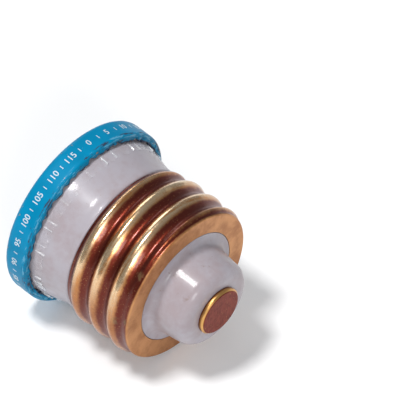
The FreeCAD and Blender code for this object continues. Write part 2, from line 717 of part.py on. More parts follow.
def cap_ring():
    """Sheet cap: face with a six-sided opening, rounded edge, side, and turned-in rear edge."""
    body = new_body("cap_ring")
    turn(body, [
        ("0", "total_length"),
        ("0", CAP_UNDER),
        ("cap_radius - cap_edge", CAP_UNDER),
        ("cap_radius - cap_sheet", "total_length - cap_edge", "cap_edge - cap_sheet", -1),
        ("cap_radius - cap_sheet", CAP_REAR + " + crimp_round"),
        ("cap_radius - crimp_round", CRIMP_TOP, "crimp_round - cap_sheet", -1),
        (CRIMP_RADIUS, CRIMP_TOP),
        (CRIMP_RADIUS, CAP_REAR),
        ("cap_radius - crimp_round", CAP_REAR),
        ("cap_radius", CAP_REAR + " + crimp_round", "crimp_round", 1),
        ("cap_radius", "total_length - cap_edge"),
        ("cap_radius - cap_edge", "total_length", "cap_edge", 1),
    ])
    corners = [(f"hex_radius * cos({30 + 60 * corner})", f"hex_radius * sin({30 + 60 * corner})")
               for corner in range(6)]
    cut_down(body, "cap_opening", lambda s: draw_outline(s, corners), "total_length",
             "cap_sheet + fit_gap")
    return body


# ---------------------------------------------------------------- lying on a table

def rest_turn():
    """Angle of the axis when the cap's rear edge and the first crest of the lower side touch
    the table, from the two rounded edges that touch it."""
    wave, pitch = size("thread_depth / 2"), size("thread_pitch")
    crest_round = 1 / (wave * (2 * math.pi / pitch) ** 2)
    crest = size("crest_start") + pitch / 2
    rise = size("cap_radius - crimp_round") - (size("crest_radius") - crest_round)
    run = size(CAP_REAR + " + crimp_round") - crest
    slack = crest_round - size("crimp_round")
    return math.atan2(rise, run) - math.asin(slack / math.hypot(rise, run))


def lying():
    """The shared placement: contact towards +X, on the table, centred in the finished box."""
    angle = rest_turn()
    upright_to_row = Rotation(Vector(math.sin(angle), 0, math.cos(angle)), Vector(0, 1, 0),
                              Vector(-math.cos(angle), 0, math.sin(angle)), "ZXY")
    return Placement(Vector(0, 0, 0), upright_to_row)


MAKERS = [insulator_body, screw_shell, centre_contact, contact_strap, clinch_washer, solder_cup,
          solder_slug, heater_sleeve, heater_coil, trigger_pin, pull_spring, fuse_link, shell_lead,
          shell_solder, window_film, face_gasket, cap_ring]


def main():
    nodes = [make() for make in MAKERS]
    for name, at in (("anchor", ANCHOR), ("terminal", CLIP)):
        nodes.append(link_post(name + "_post", at))
        nodes.append(link_rivet(name + "_rivet", at))
    doc.recompute()
    placement = lying()
    for node in nodes:
        node.Placement = placement
    box = FreeCAD.BoundBox()
    for node in nodes:
        box.add(node.Shape.optimalBoundingBox(False))
    placement.Base = Vector(-box.Center.x, -box.Center.y, -box.ZMin)
    for node in nodes:
        node.Placement = placement
    doc.recompute()
    for item in doc.Objects:
        if "Invalid" in item.State or "Error" in item.State:
            raise ValueError(f"{item.Label} failed: {item.State}")
    os.makedirs("parts", exist_ok=True)
    for node in nodes:
        if node.Shape.isNull() or not node.Shape.isValid():
            raise ValueError(f"{node.Label} has no sound shape")
    for node in nodes:
        node.Shape.exportStep(f"parts/{node.Label}.step")
        edges = node.Shape.optimalBoundingBox(False)
        print(f"{node.Label:16} {len(node.Shape.Solids)} solid  {node.Shape.Volume:10.3f} mm3  "
              f"x {edges.XMin:7.2f} {edges.XMax:7.2f}  z {edges.ZMin:6.2f} {edges.ZMax:6.2f}")
    print("axis leans", round(math.degrees(rest_turn()), 4), "degrees; contact face at",
          placement.multVec(Vector(0, 0, 0)))


main()
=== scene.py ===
"""Looks of a screw-in plug fuse lying on a table, laid out as an add-on and run as a script.

Round pieces are spun upright in the fuse's own frame, where the axis is Z and zero is the face
of the centre contact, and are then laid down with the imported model's own direction.
"""

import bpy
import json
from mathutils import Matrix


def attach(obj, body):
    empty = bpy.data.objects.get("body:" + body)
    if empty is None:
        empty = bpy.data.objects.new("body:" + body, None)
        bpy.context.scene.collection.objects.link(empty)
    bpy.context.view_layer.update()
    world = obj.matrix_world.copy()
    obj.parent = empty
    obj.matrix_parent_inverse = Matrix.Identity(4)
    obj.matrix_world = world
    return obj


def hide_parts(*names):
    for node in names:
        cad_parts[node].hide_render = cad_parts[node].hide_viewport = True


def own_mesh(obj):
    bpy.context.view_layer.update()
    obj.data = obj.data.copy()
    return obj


bl_info = {
    "name": "Plug fuse looks",
    "version": (1, 0, 0),
    "blender": (4, 5, 0),
    "location": "View3D > Sidebar > Plug fuse",
    "description": "Surface detail, printing, materials and stage of a screw-in plug fuse",
    "category": "Object",
}

import json
import math
import random

import bmesh
import bpy
from bpy.props import FloatProperty, FloatVectorProperty, IntProperty, PointerProperty
from bpy.types import Operator, Panel, PropertyGroup
from mathutils import Matrix, Vector

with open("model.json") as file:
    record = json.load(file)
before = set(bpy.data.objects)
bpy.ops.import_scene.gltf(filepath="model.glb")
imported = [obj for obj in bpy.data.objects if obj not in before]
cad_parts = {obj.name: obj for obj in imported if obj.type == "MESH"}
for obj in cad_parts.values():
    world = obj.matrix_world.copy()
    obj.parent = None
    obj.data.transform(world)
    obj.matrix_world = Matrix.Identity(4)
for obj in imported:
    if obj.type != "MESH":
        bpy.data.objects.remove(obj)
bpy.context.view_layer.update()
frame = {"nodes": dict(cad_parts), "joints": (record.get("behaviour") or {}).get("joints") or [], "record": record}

MM = 0.001
FULL_TURN = 2 * math.pi
SHARP_EDGE = math.radians(32)
SAME_POINT = 0.0005 * MM
# The film's material paints a white highlight where this attribute is near 1.
FOLD_GLINT = "fold"  # attribute of the film: 1 on a fold's ridge, 0 between folds

# ---------------------------------------------------------------- where the fuse lies

MOUNTS = {mount["name"]: mount for mount in frame["record"]["mounts"]}
CONTACT = Vector(MOUNTS["centre_contact"]["pos_m"])
AXIS = -Vector(MOUNTS["centre_contact"]["axis"]).normalized()
ACROSS = Vector((0, 1, 0))
UPPER = ACROSS.cross(AXIS).normalized()
LAY = Matrix((UPPER, ACROSS, AXIS)).transposed().to_4x4()
LAY.translation = CONTACT
RELEASE = frame["joints"][0]


def upright_points(node):
    """The corners of a CAD node in the fuse's own frame."""
    upright = LAY.inverted()
    return [upright @ vertex.co for vertex in frame["nodes"][node].data.vertices]


def spans(node, centre=(0.0, 0.0)):
    """Reach of a CAD node from a line parallel to the axis, then its lowest and highest point."""
    points = upright_points(node)
    reach = max(math.hypot(point.x - centre[0], point.y - centre[1]) for point in points)
    return reach, min(point.z for point in points), max(point.z for point in points)


def middle(node):
    """Centre of a CAD node in the fuse's own frame."""
    return Vector([(min(axis) + max(axis)) / 2 for axis in zip(*upright_points(node))])


CAP_RADIUS, CAP_REAR, CAP_FACE = spans("cap_ring")
CONTACT_RADIUS, _, CLINCH_TOP = spans("centre_contact")
FILM_RADIUS, FILM_TAIL, FILM_TOP = spans("window_film")
_, SHELL_END, SHELL_LIP = spans("screw_shell")
NOSE_FACE = spans("insulator_body")[1]


# ---------------------------------------------------------------- sizes and colours

def length(name, description, millimetres):
    """A size that a user may change."""
    return FloatProperty(name=name, description=description, default=millimetres * MM,
                         unit="LENGTH", precision=5)


def tint(name, description, red, green, blue):
    """A colour that a user may change."""
    return FloatVectorProperty(name=name, description=description, default=(red, green, blue),
                               subtype="COLOR", size=3, min=0, max=1)


class CapLooks(PropertyGroup):
    """Sizes and colours of the cap and its printing"""
    sheet: length("Sheet", "Thickness of the cap's sheet", 0.4)
    edge: length("Edge", "Rounding between the face and the side", 0.9)
    opening: length("Opening", "Centre to corner of the opening", 9.3)
    crimp: length("Crimp", "How far the rear edge is turned in", 1.2)
    crimp_round: length("Crimp rounding", "Rounding of the turned-in edge", 0.6)
    dent: length("Dents", "Depth of the dents along the turned-in edge", 0.34)
    lacquer: tint("Lacquer", "Blue of the cap", 0.0, 0.225, 0.42)
    bare: tint("Bare metal", "Tinplate where the lacquer is chipped", 0.36, 0.27, 0.21)
    scuffed: tint("Scuffed lacquer", "Rubbed patches along the turned-in edge", 0.16, 0.40, 0.55)
    # Rust marks; the same colour is also painted as shade in the gap along the turned-in lip.
    rust_and_lip_shade: tint("Rust", "Dark marks along the turned-in edge", 0.045, 0.013, 0.014)
    print_white: tint("White print", "Bars and numbers", 0.54, 0.62, 0.67)
    print_black: tint("Black print", "Number on the face", 0.012, 0.012, 0.014)


class WindowLooks(PropertyGroup):
    """Sizes and colours of the clear film and the dark ring"""
    pleats: IntProperty(name="Pleats", description="Folds round the skirt", default=46, min=8)
    pleat_depth: length("Pleat depth", "How far the folds stand out", 0.26)
    film: tint("Film", "Tint of the clear film", 0.86, 0.88, 0.90)
    ring: tint("Ring", "Dark ring behind the face", 0.006, 0.004, 0.006)


class BodyLooks(PropertyGroup):
    """Colours of the porcelain"""
    glaze: tint("Glaze", "Porcelain", 0.39, 0.362, 0.40)
    stain: tint("Stain", "Faint dirt in the glaze", 0.24, 0.17, 0.14)
    soot: tint("Soot", "Brown marks behind the window", 0.20, 0.075, 0.03)


class MetalLooks(PropertyGroup):
    """Colours of the shell, the contact and the metal parts inside"""
    crest: tint("Crest", "Brass on the thread's crests", 0.66, 0.30, 0.10)
    # Rubbed brass, also painted as a highlight along the crests of the thread's upper side.
    polished_and_highlight: tint("Polished", "Rubbed brass along the crests", 0.94, 0.76, 0.50)
    # Tarnish in the roots; the same colour is also painted as shade on the thread's table side and far side.
    root: tint("Root", "Tarnish in the thread's roots", 0.14, 0.020, 0.010)
    speck: tint("Specks", "Dark specks in the brass", 0.07, 0.025, 0.012)
    flat: tint("Flat end", "Brass of the flat end", 0.58, 0.29, 0.125)
    patina: tint("Patina", "Green tarnish", 0.22, 0.20, 0.08)
    copper: tint("Contact", "Worn face of the contact", 0.235, 0.046, 0.028)
    rim: tint("Contact rim", "Bright bevel round the contact", 0.66, 0.36, 0.12)
    spring: tint("Spring", "Spring wire", 0.66, 0.24, 0.12)
    bright: tint("Link", "Bright strip, pin and wire", 0.70, 0.71, 0.73)
    dull: tint("Solder", "Dull grey solder", 0.40, 0.40, 0.39)


class StageLooks(PropertyGroup):
    """Floor and camera"""
    floor: tint("Floor", "Pale table top", 0.90, 0.90, 0.90)
    azimuth: FloatProperty(name="Azimuth", description="Camera round the fuse", subtype="ANGLE",
                           default=math.radians(43.8))
    elevation: FloatProperty(name="Elevation", description="Camera above the table",
                             subtype="ANGLE", default=math.radians(43.6))
    roll: FloatProperty(name="Roll", description="Camera's lean", subtype="ANGLE",
                        default=math.radians(-0.8))
    distance: length("Distance", "Camera to the point it looks at", 912.7)
    lens: FloatProperty(name="Lens", description="Focal length on a 36 mm sensor, in mm",
                        default=564.0)
    aim: FloatVectorProperty(name="Aim", description="Point looked at, from the contact's centre",
                             default=(-9.99 * MM, 6.32 * MM, 11.75 * MM), subtype="TRANSLATION")


# ---------------------------------------------------------------- material maths

class Wire:
    """An output of a material's node that takes part in sums."""

    def __init__(self, finish, socket):
        self.finish = finish
        self.socket = socket

    def sum_with(self, operation, first, second=0.0):
        return self.finish.node("ShaderNodeMath", {"operation": operation}, {0: first, 1: second})

    def __add__(self, other):
        return self.sum_with("ADD", self, other)

    def __radd__(self, other):
        return self.sum_with("ADD", other, self)

    def __sub__(self, other):
        return self.sum_with("SUBTRACT", self, other)

    def __rsub__(self, other):
        return self.sum_with("SUBTRACT", other, self)

    def __mul__(self, other):
        return self.sum_with("MULTIPLY", self, other)

    def __rmul__(self, other):
        return self.sum_with("MULTIPLY", other, self)

    def __pow__(self, other):
        return self.sum_with("POWER", self, other)

    def cosine(self):
        return self.sum_with("COSINE", self)

    def sine(self):
        return self.sum_with("SINE", self)


class Finish:
    """A material under construction, with the nodes that its pieces need."""

    def __init__(self, name):
        self.material = bpy.data.materials.new(name)
        self.material.use_nodes = True
        self.tree = self.material.node_tree
        self.tree.nodes.clear()

    def node(self, kind, settings, values, output=0):
        """Add a node: its settings first, then its inputs, which are numbers, colours or wires."""
        made = self.tree.nodes.new(kind)
        for name, value in settings.items():
            setattr(made, name, value)
        for name, value in values.items():
            if isinstance(value, Wire):
                self.tree.links.new(value.socket, made.inputs[name])
            else:
                made.inputs[name].default_value = value
        return Wire(self, made.outputs[output]) if output is not None else None

    def place(self):
        """Millimetres in the fuse's own frame."""
        turn_back = LAY.to_3x3().transposed()
        start = self.node("ShaderNodeTexCoord", {}, {}, "Object")
        return self.node("ShaderNodeMapping", {"vector_type": "POINT"}, {
            "Vector": start,
            "Location": turn_back @ CONTACT * (-1 / MM),
            "Rotation": turn_back.to_euler(),
            "Scale": (1 / MM, 1 / MM, 1 / MM),
        })

    def split(self, place):
        """The three numbers of a place."""
        parts = self.node("ShaderNodeSeparateXYZ", {}, {0: place})
        return [Wire(self, socket) for socket in parts.socket.node.outputs]

    def round_place(self, place):
        """Distance from the axis, angle round it and height along it."""
        x, y, z = self.split(place)
        reach = (x * x + y * y) ** 0.5
        return reach, y.sum_with("ARCTAN2", y, x), z

    def join(self, x, y, z):
        return self.node("ShaderNodeCombineXYZ", {}, {0: x, 1: y, 2: z})

    def noise(self, place, scale, detail=3.0, roughness=0.55, seed=(0.0, 0.0, 0.0)):
        moved = self.node("ShaderNodeVectorMath", {"operation": "ADD"}, {0: place, 1: seed})
        return self.node("ShaderNodeTexNoise", {}, {
            "Vector": moved, "Scale": scale, "Detail": detail, "Roughness": roughness})

    def fade(self, value, low, high, start=0.0, end=1.0):
        """start to end, smoothly, as value goes from low to high."""
        return self.node("ShaderNodeMapRange", {"interpolation_type": "SMOOTHSTEP"}, {
            "Value": value, "From Min": low, "From Max": high, "To Min": start, "To Max": end})

    def mix(self, share, first, second):
        """Blend two colours."""
        colours = [item if isinstance(item, Wire) else (*item, 1.0)[:4] for item in (first, second)]
        return self.node("ShaderNodeMix", {"data_type": "RGBA"}, {0: share, 6: colours[0],
                                                                   7: colours[1]}, 2)

    def bump(self, height, depth, strength=1.0, under=None):
        """Depth is in metres, for a height of 0 to 1."""
        values = {"Height": height, "Distance": depth, "Strength": strength}
        if under is not None:
            values["Normal"] = under
        return self.node("ShaderNodeBump", {}, values)

    def close(self, **sockets):
        """End the material in one Principled shader."""
        names = {name.replace("_", " "): value for name, value in sockets.items()}
        colour = names.get("Base Color")
        if colour is not None and not isinstance(colour, Wire):
            names["Base Color"] = (*colour, 1.0)[:4]
        shader = self.node("ShaderNodeBsdfPrincipled", {}, names)
        self.node("ShaderNodeOutputMaterial", {}, {"Surface": shader}, None)
        return self.material


# ---------------------------------------------------------------- finishes

def toned(colour, *shares):
    """A colour with its red, green and blue turned down to shares, or all three to one share."""
    shares = shares * 3 if len(shares) == 1 else shares
    return [value * share for value, share in zip(colour, shares)]


def porcelain(looks):
    """White glaze with faint clouds and dirt, sooty inside behind the window."""
    finish = Finish("glazed_porcelain")
    place = finish.place()
    reach, angle, height = finish.round_place(place)
    cloud = finish.noise(place, 0.14, 4, 0.55)
    mottle = finish.noise(place, 0.75, 4, 0.6, (3, 1, 8))
    speck = finish.fade(finish.noise(place, 2.1, 2, 0.6, (7, 3, 1)), 0.73, 0.77)
    smear = finish.fade(finish.noise(place, 0.5, 5, 0.7, (2, 9, 4)), 0.56, 0.78)
    near_shell = finish.fade(height, SHELL_LIP / MM + 0.9, SHELL_LIP / MM, 0, 0.55)
    near_root = (finish.fade(height, NOSE_FACE / MM + 4.0, SHELL_END / MM, 0, 0.35)
                 * finish.fade(height, SHELL_END / MM + 0.6, SHELL_END / MM + 0.3))
    glaze = finish.mix(finish.fade(0.65 * cloud + 0.35 * mottle, 0.38, 0.62), looks.glaze,
                       toned(looks.glaze, 0.90, 0.82, 0.79))
    dirt = speck * 0.6 + smear * (0.10 + near_shell + near_root)
    colour = finish.mix(finish.fade(dirt, 0, 1), glaze, looks.stain)
    one_side = (angle - 1.9).cosine()
    sooty = (finish.fade(reach, 7.4, 8.5)
             * finish.fade(height, SHELL_LIP / MM + 4.5, CAP_REAR / MM)
             * finish.fade(smear + 0.4 * cloud + 0.35 * one_side, 0.25, 0.60))
    chamber = (finish.fade(reach, 8.72, 8.66)
               * finish.fade(height, FILM_TOP / MM, FILM_TOP / MM - 0.3))
    colour = finish.mix(sooty * chamber, colour, looks.soot)
    ripple = finish.bump(finish.noise(place, 0.20, 2, 0.5, (5, 5, 5)), 0.10 * MM, 0.35)
    gloss = 0.28 + 0.14 * mottle + 0.30 * speck
    return finish.close(Base_Color=colour, Roughness=gloss, Normal=ripple, Coat_Weight=0.20,
                        Coat_Roughness=0.12, Specular_IOR_Level=0.22)


def thread_brass(looks):
    """Rolled brass: rubbed crests with a painted highlight, dark roots, painted shade on the table side and the
    far side, a plain flat end.
    """
    finish = Finish("shell_brass")
    place = finish.place()
    reach, angle, height = finish.round_place(place)
    crest = finish.fade(reach, 12.16, 13.00)
    blotch = finish.noise(place, 0.30, 4, 0.6)
    streak = finish.noise(finish.join(height * 1.6, angle * 1.4, reach * 0.4), 0.9, 4, 0.62)
    fine = finish.noise(place, 2.2, 4, 0.7, (3, 8, 2))
    tarnish = finish.fade(0.35 * blotch + 0.35 * streak + 0.34 * fine + (1 - crest) * 0.46,
                          0.44, 0.84)
    colour = finish.mix(tarnish, looks.crest, looks.root)
    # Painted shade: the side of the thread that faces the table is darkened towards the root colour and keeps no
    # rubbed highlight.
    floor_facing_shade = finish.fade(angle.cosine(), 0.50, -0.15)
    # Rubbed crests, partly real wear and partly a painted highlight: pale brass along the crests, left off the
    # side that faces the table.
    polish_and_highlight = (finish.fade(reach, 12.62, 13.05) * finish.fade(streak + 0.3 * fine, 0.48, 0.70)
              * (1 - floor_facing_shade))
    colour = finish.mix(polish_and_highlight * 0.75, colour, looks.polished_and_highlight)
    # Painted shade: the side away from the camera is darkened towards the root colour, as is the table side.
    far = finish.fade(angle.sine(), 0.20, 0.95)
    colour = finish.mix(floor_facing_shade * 0.45 + far * 0.35, colour, looks.root)
    patch = finish.fade(finish.noise(place, 0.30, 3, 0.6, (9, 1, 6)), 0.63, 0.72)
    colour = finish.mix(patch * 0.35, colour, looks.patina)
    speck = finish.fade(fine, 0.66, 0.74)
    colour = finish.mix(speck * 0.55, colour, looks.speck)
    spark = finish.fade(finish.noise(place, 5.0, 2, 0.6, (5, 2, 7)), 0.62, 0.70) * (1 - crest)
    colour = finish.mix(spark * 0.5, colour, looks.flat)
    end = finish.fade(height, SHELL_END / MM + 0.35, SHELL_END / MM + 0.1)
    flat = finish.mix(finish.fade(0.85 * blotch + 0.15 * fine, 0.38, 0.66), looks.flat,
                      toned(looks.flat, 0.66, 0.56, 0.50))
    flat = finish.mix(speck * 0.35, flat, (0.16, 0.07, 0.035))
    colour = finish.mix(end, colour, flat)
    lathe_lines = finish.noise(finish.join(reach, 0.0, 0.0), 9.0, 2, 0.6)
    drawn_lines = finish.noise(finish.join(height, angle * 0.15, 0.0), 5.0, 2, 0.6)
    lines = lathe_lines * end + drawn_lines * (1 - end)
    dents = finish.bump(finish.noise(place, 0.70, 3, 0.55, (1, 1, 4)), 0.035 * MM)
    normal = finish.bump(lines, 0.008 * MM, 1.0, dents)
    gloss = 0.27 + 0.14 * tarnish + 0.12 * patch + 0.2 * speck + 0.10 * end - 0.05 * polish_and_highlight
    return finish.close(Base_Color=colour, Roughness=gloss,
                        Metallic=1.0 - 0.3 * patch - 0.3 * speck, Normal=normal,
                        Coat_Weight=0.35 - 0.25 * end, Coat_Roughness=0.16)


def contact_copper(looks):
    """Worn copper-brown face with a brushed grain, a bright bevel and a dark side."""
    finish = Finish("contact_copper")
    place = finish.place()
    x, y, height = finish.split(place)
    blotch = finish.noise(place, 0.9, 4, 0.6)
    grain = finish.noise(finish.join(x * 0.35, y * 3.2, 0.0), 1.6, 3, 0.6)
    face = finish.mix(finish.fade(0.55 * grain + 0.45 * blotch, 0.38, 0.64), looks.copper,
                      toned(looks.copper, 0.58, 0.50, 0.55))
    worn = finish.fade(finish.noise(place, 2.2, 3, 0.6, (4, 4, 4)), 0.62, 0.72)
    face = finish.mix(worn * 0.35, face, looks.rim)
    rim = finish.fade(height, 0.06, 0.16)
    colour = finish.mix(rim, face, looks.rim)
    colour = finish.mix(finish.fade(height, 0.40, 0.85) * 0.9, colour, looks.root)
    normal = finish.bump(grain, 0.012 * MM, 1.0, finish.bump(blotch, 0.02 * MM))
    return finish.close(Base_Color=colour, Roughness=0.44 - 0.16 * rim + 0.12 * blotch,
                        Metallic=0.75 + 0.25 * rim, Normal=normal, Specular_IOR_Level=0.3)


def cap_lacquer(looks):
    """Blue lacquer on tinplate, chipped and scuffed along its edges, bare where it is hidden, with painted shade
    on the rear edge and in the gap at the turned-in lip.
    """
    finish = Finish("cap_lacquer")
    place = finish.place()
    reach, angle, height = finish.round_place(place)
    rear, face, radius = CAP_REAR / MM, CAP_FACE / MM, CAP_RADIUS / MM
    cloud = finish.noise(place, 0.25, 3, 0.55)
    grit = finish.noise(place, 1.3, 4, 0.65, (6, 2, 8))
    flake = finish.noise(place, 0.95, 5, 0.7, (1, 7, 3))
    blue = finish.mix(finish.fade(cloud, 0.35, 0.7), looks.lacquer, toned(looks.lacquer, 0.86))
    at_front = (finish.fade(height, face - 0.7, face - 0.25)
                * finish.fade(reach, radius - 0.75, radius - 0.35))
    at_rear = finish.fade(height, rear + 0.45, rear + 0.10)
    at_lip = at_rear * finish.fade(reach, radius - 0.45, radius - 0.95)
    # Painted shade: the lacquer is toned darker on the rounded rear edge and the turned-in lip.
    blue = finish.mix(at_rear * 0.30, blue, toned(looks.lacquer, 0.45))
    chip = finish.fade(flake + 0.03 * at_rear + 0.03 * at_lip + 0.05 * at_front, 0.66, 0.70)
    fleck = finish.fade(grit, 0.70, 0.76) * 0.5
    hidden = (finish.fade(height, face - 0.30, face - 0.36)
              * finish.fade(height, rear + 0.20, rear + 0.30)
              * finish.fade(reach, radius - 0.30, radius - 0.36))
    bare = finish.mix(finish.fade(grit, 0.42, 0.60), looks.bare, (0.05, 0.03, 0.025))
    raw = finish.fade(chip + hidden, 0.2, 0.8)
    blue = finish.mix(fleck, blue, (0.01, 0.09, 0.16))
    colour = finish.mix(raw, blue, bare)
    band = (finish.fade(height, rear + 0.80, rear + 0.50)
            * finish.fade(reach, radius - 1.00, radius - 0.75))
    rub = finish.noise(finish.join(angle * 6.0, reach * 2.4, height * 2.4), 1.0, 4, 0.65,
                       (2, 6, 1))
    colour = finish.mix(band * finish.fade(rub, 0.54, 0.62) * 0.65, colour, looks.scuffed)
    colour = finish.mix(band * finish.fade(rub, 0.45, 0.40) * 0.80, colour, looks.rust_and_lip_shade)
    # Painted shade in the gap along the turned-in lip, mixed with rust-brown marks.
    lip_shade_and_grime = at_rear * finish.fade(reach + 0.5 * grit, radius - 0.60, radius - 0.85)
    colour = finish.mix(lip_shade_and_grime * 0.8, colour, looks.rust_and_lip_shade)
    orange_peel = finish.bump(finish.noise(place, 1.1, 2, 0.5), 0.008 * MM)
    normal = finish.bump(1 - chip, 0.03 * MM, 1.0, orange_peel)
    return finish.close(Base_Color=colour, Roughness=0.34 + 0.18 * raw + 0.08 * cloud,
                        Metallic=0.85 * raw, Normal=normal, Specular_IOR_Level=0.15, IOR=1.3,
                        Coat_Weight=0.07, Coat_Roughness=0.10)


def clear_film(looks):
    """Nearly invisible where it lies flat; painted highlights on the folds and the cut edge, and painted glints
    round the window's rim.
    """
    finish = Finish("window_film")
    place = finish.place()
    reach, _, height = finish.round_place(place)
    crease = finish.noise(place, 0.7, 4, 0.6)
    torn = finish.noise(place, 1.6, 3, 0.6, (8, 8, 1))
    behind = finish.fade(height, CAP_REAR / MM + 0.8, CAP_REAR / MM + 0.2)
    # Painted glints: white specks on the film round the window's rim.
    rim_glints = finish.fade(reach, 6.9, 8.0) * finish.fade(torn, 0.52, 0.66) * (1 - behind)
    # The fold attribute is the mask of the painted highlights on the folds' ridges.
    fold = finish.node("ShaderNodeAttribute", {"attribute_name": FOLD_GLINT}, {}, "Fac")
    cut_edge = finish.fade(height, FILM_TAIL / MM + 0.45, FILM_TAIL / MM + 0.05)
    edge_on = finish.node("ShaderNodeLayerWeight", {}, {"Blend": 0.30}, "Facing")
    dust = finish.fade(finish.noise(place, 3.2, 1, 0.5, (4, 6, 2)), 0.78, 0.80)
    # Painted highlights: the folds' ridges and the cut edge behind the cap are made whiter and more opaque.
    alpha = (0.008 + 0.07 * edge_on + 0.30 * rim_glints + 0.45 * dust
             + behind * (0.50 * fold + 0.07 * cut_edge * finish.fade(torn, 0.46, 0.62)))
    normal = finish.bump(crease, 0.05 * MM, 0.6)
    return finish.close(Base_Color=looks.film, Roughness=0.10 + 0.10 * crease, Alpha=alpha,
                        Normal=normal, IOR=1.5)


def dark_ring(looks):
    """Matt black with a faint fibre."""
    finish = Finish("gasket_black")
    place = finish.place()
    fibre = finish.noise(place, 2.5, 4, 0.7)
    colour = finish.mix(finish.fade(fibre, 0.4, 0.75), looks.ring, (0.014, 0.010, 0.011))
    return finish.close(Base_Color=colour, Roughness=0.62 + 0.2 * fibre, Specular_IOR_Level=0.12,
                        Normal=finish.bump(fibre, 0.03 * MM))


def ink(name, colour, worn):
    """Printed ink, thinned and slightly rubbed."""
    finish = Finish(name)
    place = finish.place()
    rub = finish.noise(place, 2.1, 4, 0.65, (2, 2, 9))
    shade = finish.mix(finish.fade(rub, 0.45, 0.75) * 0.35, colour, worn)
    return finish.close(Base_Color=shade, Roughness=0.42 + 0.15 * rub,
                        Normal=finish.bump(rub, 0.01 * MM))


def plain_metal(name, colour, dull, gloss):
    """Small metal parts: a colour, a duller tone of it in patches, and fine drawn scratches."""
    finish = Finish(name)
    place = finish.place()
    patch = finish.noise(place, 0.9, 4, 0.6)
    fine = finish.noise(place, 6.0, 3, 0.6, (3, 1, 2))
    shade = finish.mix(finish.fade(patch, 0.4, 0.7), colour, dull)
    return finish.close(Base_Color=shade, Roughness=gloss + 0.2 * patch, Metallic=1.0,
                        Normal=finish.bump(fine, 0.01 * MM))


def mica():
    """Brown mica in glossy flakes."""
    finish = Finish("mica")
    place = finish.place()
    flake = finish.noise(place, 1.5, 4, 0.7)
    shade = finish.mix(finish.fade(flake, 0.35, 0.7), (0.45, 0.34, 0.20), (0.24, 0.16, 0.08))
    return finish.close(Base_Color=shade, Roughness=0.2 + 0.25 * flake, Coat_Weight=0.4,
                        Normal=finish.bump(flake, 0.02 * MM))


# ---------------------------------------------------------------- mesh helpers

def rounded(corners, closed=True, steps=6):
    """Points of an outline whose corners are (radius, height) or (radius, height, rounding)."""
    points = []
    for index, (radius, height, *rounding) in enumerate(corners):
        here = Vector((radius, height))
        last = not closed and index in (0, len(corners) - 1)
        if not rounding or last:
            points.append(here)
            continue
        before = (Vector(corners[index - 1][:2]) - here).normalized()
        after = (Vector(corners[(index + 1) % len(corners)][:2]) - here).normalized()
        half = before.angle(after) / 2
        start = here + before * rounding[0] / math.tan(half)
        end = here + after * rounding[0] / math.tan(half)
        centre = here + (before + after).normalized() * rounding[0] / math.sin(half)
        for step in range(steps + 1):
            spoke = (start - centre).lerp(end - centre, step / steps)
            points.append(centre + spoke.normalized() * rounding[0])
    return points


def divided(points, longest, closed=True):
    """The same outline with no stretch longer than longest."""
    made = []
    count = len(points)
    for index, point in enumerate(points):
        made.append(point)
        if not closed and index == count - 1:
            break
        following = points[(index + 1) % count]
        pieces = math.ceil((following - point).length / longest)
        made.extend(point.lerp(following, step / pieces) for step in range(1, pieces))
    return made


def spun(points, steps, closed=True):
    """Spin an outline about the fuse's axis; an open one starts and ends on the axis."""
    form = bmesh.new()
    vertices = [form.verts.new((point.x, 0, point.y)) for point in points]
    pairs = list(zip(vertices, vertices[1:])) + ([(vertices[-1], vertices[0])] if closed else [])
    edges = [form.edges.new(pair) for pair in pairs]
    bmesh.ops.spin(form, geom=vertices + edges, cent=(0, 0, 0), axis=(0, 0, 1), angle=FULL_TURN,
                   steps=steps, use_merge=True, use_duplicate=False)
    return form


def shade(form):
    """Merge doubles, turn the faces outwards, and mark the edges that stay sharp."""
    bmesh.ops.remove_doubles(form, verts=form.verts, dist=SAME_POINT)
    bmesh.ops.recalc_face_normals(form, faces=form.faces)
    for face in form.faces:
        face.smooth = True
    for edge in form.edges:
        if len(edge.link_faces) == 2:
            edge.smooth = edge.calc_face_angle(0) < SHARP_EDGE


def make_piece(form, name, material, stands_for=(), body="fuse", laid=False):
    """Turn a bmesh into an object of the fuse: laid down, finished and riding on its body."""
    mesh = bpy.data.meshes.new(name)
    if not laid:
        form.transform(LAY)
    form.to_mesh(mesh)
    form.free()
    piece = bpy.data.objects.new(name, mesh)
    bpy.context.scene.collection.objects.link(piece)
    mesh.materials.append(material)
    weighted = piece.modifiers.new("face_normals", "WEIGHTED_NORMAL")
    weighted.keep_sharp = True
    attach(piece, body)
    if stands_for:
        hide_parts(*stands_for)
    return piece


def smooth_copy(node, name, material, body="fuse"):
    """A piece that has a CAD node's own shape, with shared corners and smooth shading."""
    form = bmesh.new()
    form.from_mesh(frame["nodes"][node].data)
    shade(form)
    return make_piece(form, name, material, (node,), body, laid=True)


def waves(seed, counts):
    """A ripple round the axis: sines with fixed random phases, between about -1 and 1."""
    chance = random.Random(seed)
    parts = [(count, chance.uniform(0, FULL_TURN), chance.uniform(0.6, 1.0)) for count in counts]
    total = sum(size for _, _, size in parts)
    return lambda angle: sum(size * math.sin(count * angle + phase)
                             for count, phase, size in parts) / total


def ramp(value, low, high):
    """0 to 1 with level ends as value goes from low to high."""
    share = min(max((value - low) / (high - low), 0.0), 1.0)
    return share * share * (3 - 2 * share)


def turn_of(vertex):
    """Angle of a vertex round the axis."""
    return math.atan2(vertex.co.y, vertex.co.x)


def reach_of(vertex):
    """Distance of a vertex from the axis."""
    return math.hypot(vertex.co.x, vertex.co.y)


def push_out(vertex, distance):
    """Move a vertex away from the axis."""
    reach = reach_of(vertex)
    vertex.co.x *= (reach + distance) / reach
    vertex.co.y *= (reach + distance) / reach


